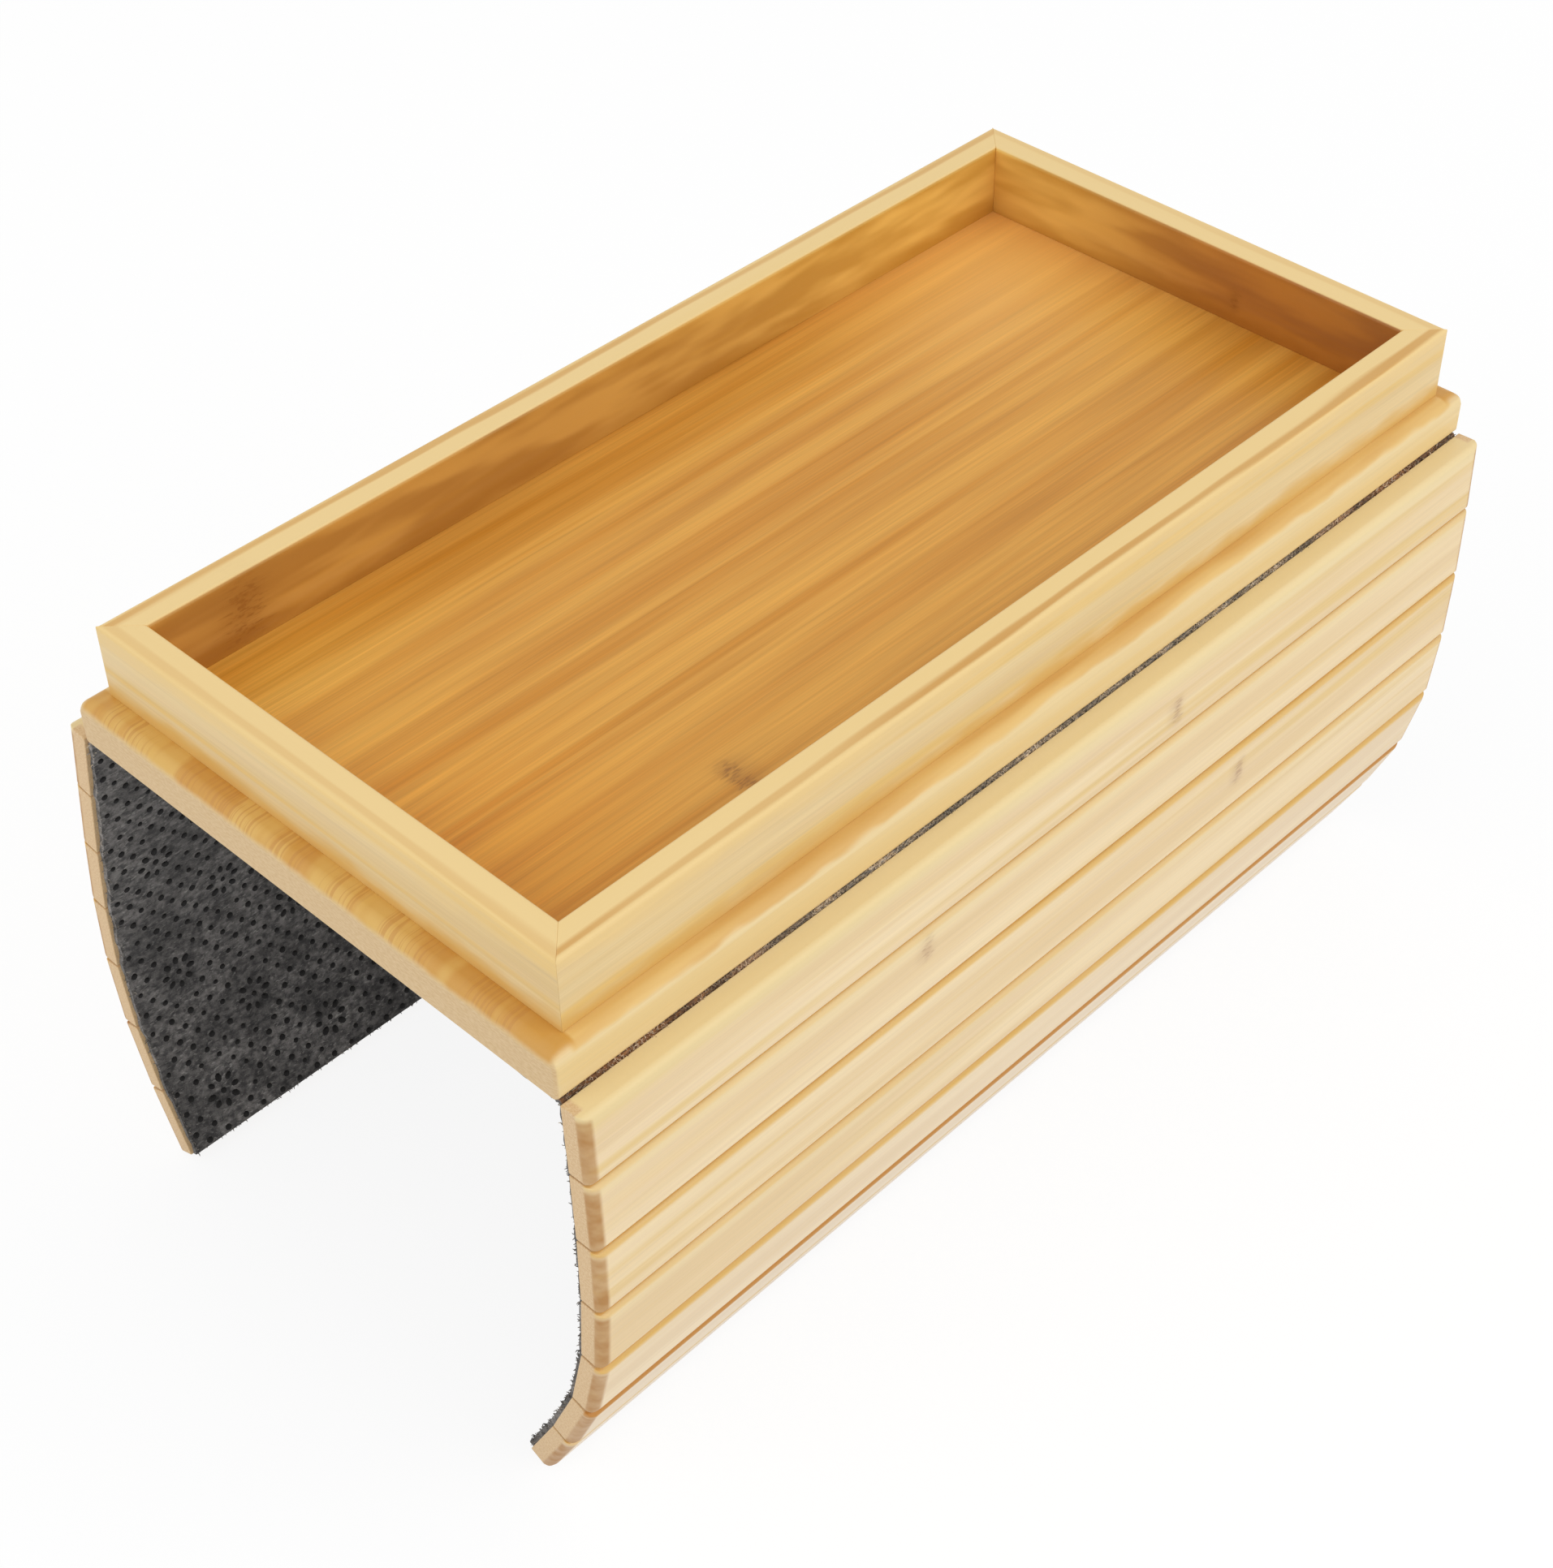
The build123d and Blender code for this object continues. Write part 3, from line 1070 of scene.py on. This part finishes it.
def make_fibre():
    """A bent, tapering fibre that stands on Z."""
    bpy.ops.object.select_all(action="DESELECT")
    bpy.ops.mesh.primitive_circle_add(vertices=3, radius=fibre_radius, fill_type="NGON")
    piece = bpy.context.object
    bpy.ops.object.mode_set(mode="EDIT")
    bpy.ops.mesh.select_all(action="SELECT")
    for aside, size in fibre_bends:
        move = (aside * fibre_length, 0, fibre_length / 2)
        bpy.ops.mesh.extrude_region_move(TRANSFORM_OT_translate={"value": move})
        bpy.ops.transform.resize(value=(size, size, 1))
    bpy.ops.object.mode_set(mode="OBJECT")
    print("fibre with", len(piece.data.polygons), "faces")
    return piece


fibre_model = make_fibre()
fibre_points = points_of(fibre_model)
fibre_faces = [list(face.vertices) for face in fibre_model.data.polygons]
bpy.data.objects.remove(fibre_model)


# %% Fringe of fibres
fuzz_low, fuzz_high = -felt_thickness, -0.3 * felt_thickness
end_band = (1.2 * MM, 0.2 * MM)
gap_band = (-1.4 * MM, 1.2 * MM)
gap_rise = 0.1 * MM
hem_band = (0.5 * MM, 0.2 * MM)


def fringe(random, count, one, other, way):
    """Fibres that grow from random places between two corners, more or less along one way."""
    points = []
    faces = []
    for number in range(count):
        root = one + random.random(3) * np.subtract(other, one)
        aim = Vector(way + random.normal(0, fibre_spread, 3)).to_track_quat("Z", "X").to_matrix()
        spin = Matrix.Rotation(random.uniform(0, 2 * math.pi), 3, "Z")
        size = random.uniform(*fibre_sizes)
        points.append(root + fibre_points @ np.array(aim @ spin).T * size)
        faces.extend([number * len(fibre_points) + index for index in face] for face in fibre_faces)
    return np.vstack(points), faces


def joined(parts):
    """Several sets of points and faces as one."""
    points = []
    faces = []
    for part_points, part_faces in parts:
        base = sum(len(done) for done in points)
        points.append(part_points)
        faces.extend([base + index for index in face] for face in part_faces)
    return np.vstack(points), faces


def fuzz_shape(start, end, seed, worn, gap, hem):
    """The fibres of a flat strip: at both cut ends, in the gap above it and at its hem."""
    random = np.random.default_rng(seed)
    edge = felt_half_length
    count = round(worn * (end - start) / end_fibre_spacing)
    parts = []
    for sign in (-1, 1):
        inner = (sign * (edge - end_band[0]), start, fuzz_low)
        outer = (sign * (edge - end_band[1]), end, fuzz_high)
        parts.append(fringe(random, count, inner, outer, (0.3 * sign, 0, -0.7)))
    if gap:
        count = round(2 * edge / gap_fibre_spacing)
        near = (MM - edge, gap_band[0], -gap_rise)
        far = (edge - MM, gap_band[1], gap_rise)
        parts.append(fringe(random, count, near, far, (0, 0, 0.8)))
    if hem:
        count = round(2 * edge / hem_fibre_spacing)
        near = (-edge, end - hem_band[0], fuzz_low)
        far = (edge, end - hem_band[1], fuzz_high)
        parts.append(fringe(random, count, near, far, (0, 0.4, -0.7)))
    return joined(parts)


def mark_lint(piece, seed, palest):
    """Makes some fibres paler than the felt, each all over."""
    random = np.random.default_rng(seed)
    fibres = len(piece.data.vertices) // len(fibre_points)
    carry(piece, "lint", np.repeat(palest * random.random(fibres), len(fibre_points)))


# %% [markdown]
# ## Laying the felt
# A flap's sheet, its dots and its fibres are all bent by the same rule, so a dot stays on
# its spot of felt. Each sheet starts a little above its fold, where the felt is still
# flat, and there it meets the sheet before it.

# %% Bend and finish a felt piece
lead_spare = 0.2 * MM
end_wave = 5 * felt_wave
felt_sharp_angle = math.radians(50)


def lead(hinge):
    """How far above a hinge line the next sheet starts, clear of the fold on both faces."""
    return hinge.setback + felt_thickness * math.tan((hinge.after - hinge.before) / 2) + lead_spare


def make_mesh_piece(name, points, faces, flipped):
    """A piece from its points and faces, turned inside out if its frame was mirrored."""
    mesh = bpy.data.meshes.new(name)
    faces = [face[::-1] for face in faces] if flipped else faces
    mesh.from_pydata([tuple(point) for point in points], [], faces)
    mesh.validate()
    piece = bpy.data.objects.new(name, mesh)
    bpy.context.scene.collection.objects.link(piece)
    return piece


def felt_shape(name, start, end, seed):
    """A flat felt strip with its thickness, an uneven face and ragged cut ends."""
    piece = flat_felt(name, start, end)
    random = np.random.default_rng(seed)
    points = points_of(piece)
    hair = MM / 10
    inside = (points[:, 1] > start + hair) & (points[:, 1] < end - hair)
    points[inside, 2] += random.uniform(-felt_wave, 0, inside.sum())
    ends = inside & (np.abs(points[:, 0]) > felt_half_length - hair)
    points[ends, 0] -= np.sign(points[ends, 0]) * random.uniform(0, end_wave, ends.sum())
    piece.data.vertices.foreach_set("co", points.ravel())
    apply_modifier(piece, "SOLIDIFY", thickness=felt_thickness, offset=1, use_even_offset=False)
    points = points_of(piece)
    points[points[:, 2] > -felt_thickness / 2, 2] = 0
    faces = [list(face.vertices) for face in piece.data.polygons]
    bpy.data.objects.remove(piece)
    return points, faces


def dot_shape(places, seed):
    """The points and faces of all dots at these places: X, the flat distance and the height."""
    random = np.random.default_rng(seed)
    points = []
    faces = []
    for x, y, angle, stretch in places:
        turn = np.array([[math.cos(angle), math.sin(angle)], [-math.sin(angle), math.cos(angle)]])
        spread = (dot_points[:, :2] * (stretch, 1.0)) @ turn * random.uniform(*dot_sizes)
        x, y = (x, y) + random.normal(0, dot_drift, 2)
        base = len(points) * len(dot_points)
        points.append(np.column_stack([x + spread[:, 0], y + spread[:, 1], dot_points[:, 2]]))
        faces.extend([base + index for index in face] for face in dot_faces)
    return np.vstack(points), faces


def finish_felt(piece, flat_place, material):
    """The flat place, the finish and the shading of a felt or rubber piece."""
    carry(piece, "flat_place", flat_place / MM, "FLOAT_VECTOR", "vector")
    piece.data.materials.append(material)
    piece.data.shade_smooth()
    piece.data.set_sharp_from_angle(angle=felt_sharp_angle)


# %% Felt and dots under the board
board_felt_end = root_distance - lead(flaps["left"][1][0])
right_felt_end = root_distance - lead(flaps["right"][1][0])


def lay_board_felt():
    """The sheet glued under the board, with its dots."""
    points, faces = felt_shape("felt_model", -right_felt_end, board_felt_end, 7)
    flat = points.copy()
    points[:, 2] += felt_high.z
    sheet = make_mesh_piece("felt_sheet_middle", points, faces, False)
    finish_felt(sheet, flat, felt_grey)
    places = dot_places(-right_felt_end, board_felt_end)
    points, faces = dot_shape(places, 8)
    flat = points.copy()
    points[:, 2] = felt_low.z - points[:, 2]
    dots = make_mesh_piece("grip_dots_middle", points, faces, True)
    finish_felt(dots, flat, rubber_black)
    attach(sheet, "tray")
    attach(dots, "tray")
    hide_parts("felt_middle")
    size = (2 * felt_half_length, right_felt_end + board_felt_end)
    print("felt under the board", [round(v / MM, 1) for v in size], "mm with", len(places), "dots")


lay_board_felt()

# %% Felt and dots behind the slats
least_worn = 0.3
# Fibres in the gap are palest: lint, and painted light on them.
gap_lint_and_light = 0.9
edge_lint = 0.3


def lay_flap_felt(name, side, hinges, index):
    """The sheet behind one slat and across the fold above it, with its dots and fibres."""
    hinge = hinges[index]
    number = index + 1
    start = -lead(hinge)
    end = slat_pitch - (slat_gap / 2 if number == slat_count else lead(hinges[index + 1]))
    above = root_distance + index * slat_pitch

    def laid(kind, shape, material, flipped):
        """A piece from flat points, whose Y is the distance past the hinge line."""
        points, faces = shape
        flat = np.column_stack([points[:, 0], side * (above + points[:, 1]), points[:, 2]])
        bent = [folded(side, hinge, y, -z) + Vector((x, 0, 0)) for x, y, z in points]
        piece = make_mesh_piece(f"{kind}_{name}_{number}", bent, faces, flipped)
        finish_felt(piece, flat, material)
        return piece

    seed = 10 * number + side
    sheet = laid("felt_sheet", felt_shape("felt_model", start, end, seed), felt_grey, side < 0)
    places = dot_places(*sorted((side * (above + start), side * (above + end))))
    points, faces = dot_shape(places, seed + 300)
    points = points * (1, side, -1) - (0, above, felt_thickness)
    dots = laid("grip_dots", (points, faces), rubber_black, True)
    worn = least_worn + (1 - least_worn) * index / (slat_count - 1)
    fuzz_parts = fuzz_shape(start, end, seed + 100, worn, number == 1, number == slat_count)
    fuzz = laid("felt_fuzz", fuzz_parts, felt_grey, side < 0)
    mark_lint(fuzz, seed + 200, gap_lint_and_light if number == 1 else edge_lint)
    bend_start = hinge.at - run_of(side, hinge.before) * hinge.setback
    bend_end = hinge.at + run_of(side, hinge.after) * hinge.setback
    for piece in (sheet, dots, fuzz):
        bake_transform(piece)
    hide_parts(f"felt_{name}_{number}", f"felt_bend_{name}_{number}")
    size = (2 * felt_half_length, end - start)
    return size


for name, (side, hinges) in flaps.items():
    sizes = [lay_flap_felt(name, side, hinges, index) for index in range(slat_count)]
    print(f"felt behind the {name} slats, lengths in mm:", [round(size[1] / MM, 1) for size in sizes])

# %% [markdown]
# ## Floor and light
# A product photograph of this kind is taken on white with light from all round, so
# shadows are soft and a colour looks as it is. Most of the light comes from a white world
# and the rest from two large lamps, a stronger one on the right flap's side and a weaker
# one beyond the near end. The floor and the world show nearly white to the camera itself,
# while the floor still takes the shadow.

# %% Floor
floor_size = 12
floor_drop = 1.5 * MM
floor_grey = (0.8, 0.8, 0.8, 1.0)
floor_glow = 1.05
glow_share = 0.84
white = (1.0, 1.0, 1.0, 1.0)
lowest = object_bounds()[0].z
bpy.ops.object.select_all(action="DESELECT")
bpy.ops.mesh.primitive_plane_add(size=floor_size, location=(0, 0, lowest - floor_drop))
bpy.ops.object.transform_apply(location=True, rotation=True, scale=True)
floor = bpy.context.object
floor.name = "studio_floor"


def seen_directly(finish):
    """1 for rays from the camera, and for what shines or shows through, 0 for plain light."""
    rays = finish.node("ShaderNodeLightPath").socket.node.outputs
    kinds = ("Camera", "Glossy", "Transmission")
    seen, glossy, through = (Wire(finish, rays[f"Is {kind} Ray"]) for kind in kinds)
    return seen.math("MAXIMUM", seen.math("MAXIMUM", seen, glossy), through)


def floor_material():
    """White to the eye with a share of the real shadow."""
    finish = Finish("studio_white")
    matt = finish.node("ShaderNodeBsdfDiffuse", None, {"Color": floor_grey})
    glow = finish.node("ShaderNodeEmission", None, {"Color": white, "Strength": floor_glow})
    share = seen_directly(finish) * glow_share
    shader = finish.node("ShaderNodeMixShader", None, {0: share, 1: matt, 2: glow})
    finish.node("ShaderNodeOutputMaterial", None, {"Surface": shader})
    return finish.made


floor.data.materials.append(floor_material())
print("floor at", round((lowest - floor_drop) / MM, 1), "mm")

# %% World and lamps
world_light = 0.735


def studio_world():
    """White where it is seen or mirrored, and dimmer as a light."""
    sky = Finish("studio_world", bpy.data.worlds)
    strength = world_light + (1 - world_light) * seen_directly(sky)
    glow = sky.node("ShaderNodeBackground", None, {"Color": white, "Strength": strength})
    sky.node("ShaderNodeOutputWorld", None, {"Surface": glow})
    return sky.made


def add_lamp(name, place, size, power):
    """A square soft lamp that looks at the tray."""
    bpy.ops.object.light_add(type="AREA", location=place)
    lamp = bpy.context.object
    lamp.name = name
    lamp.rotation_euler = (-Vector(place)).to_track_quat("-Z", "Y").to_euler()
    lamp.data.size = size
    lamp.data.energy = power
    print(name, "with", power, "W at", place)


bpy.context.scene.world = studio_world()
add_lamp("lamp_right", (0.5, -1.6, 1.0), 1.5, 11.0)
add_lamp("lamp_near_end", (-1.4, 0.2, 0.8), 1.2, 5.0)
bpy.context.scene.view_settings.view_transform = "Standard"
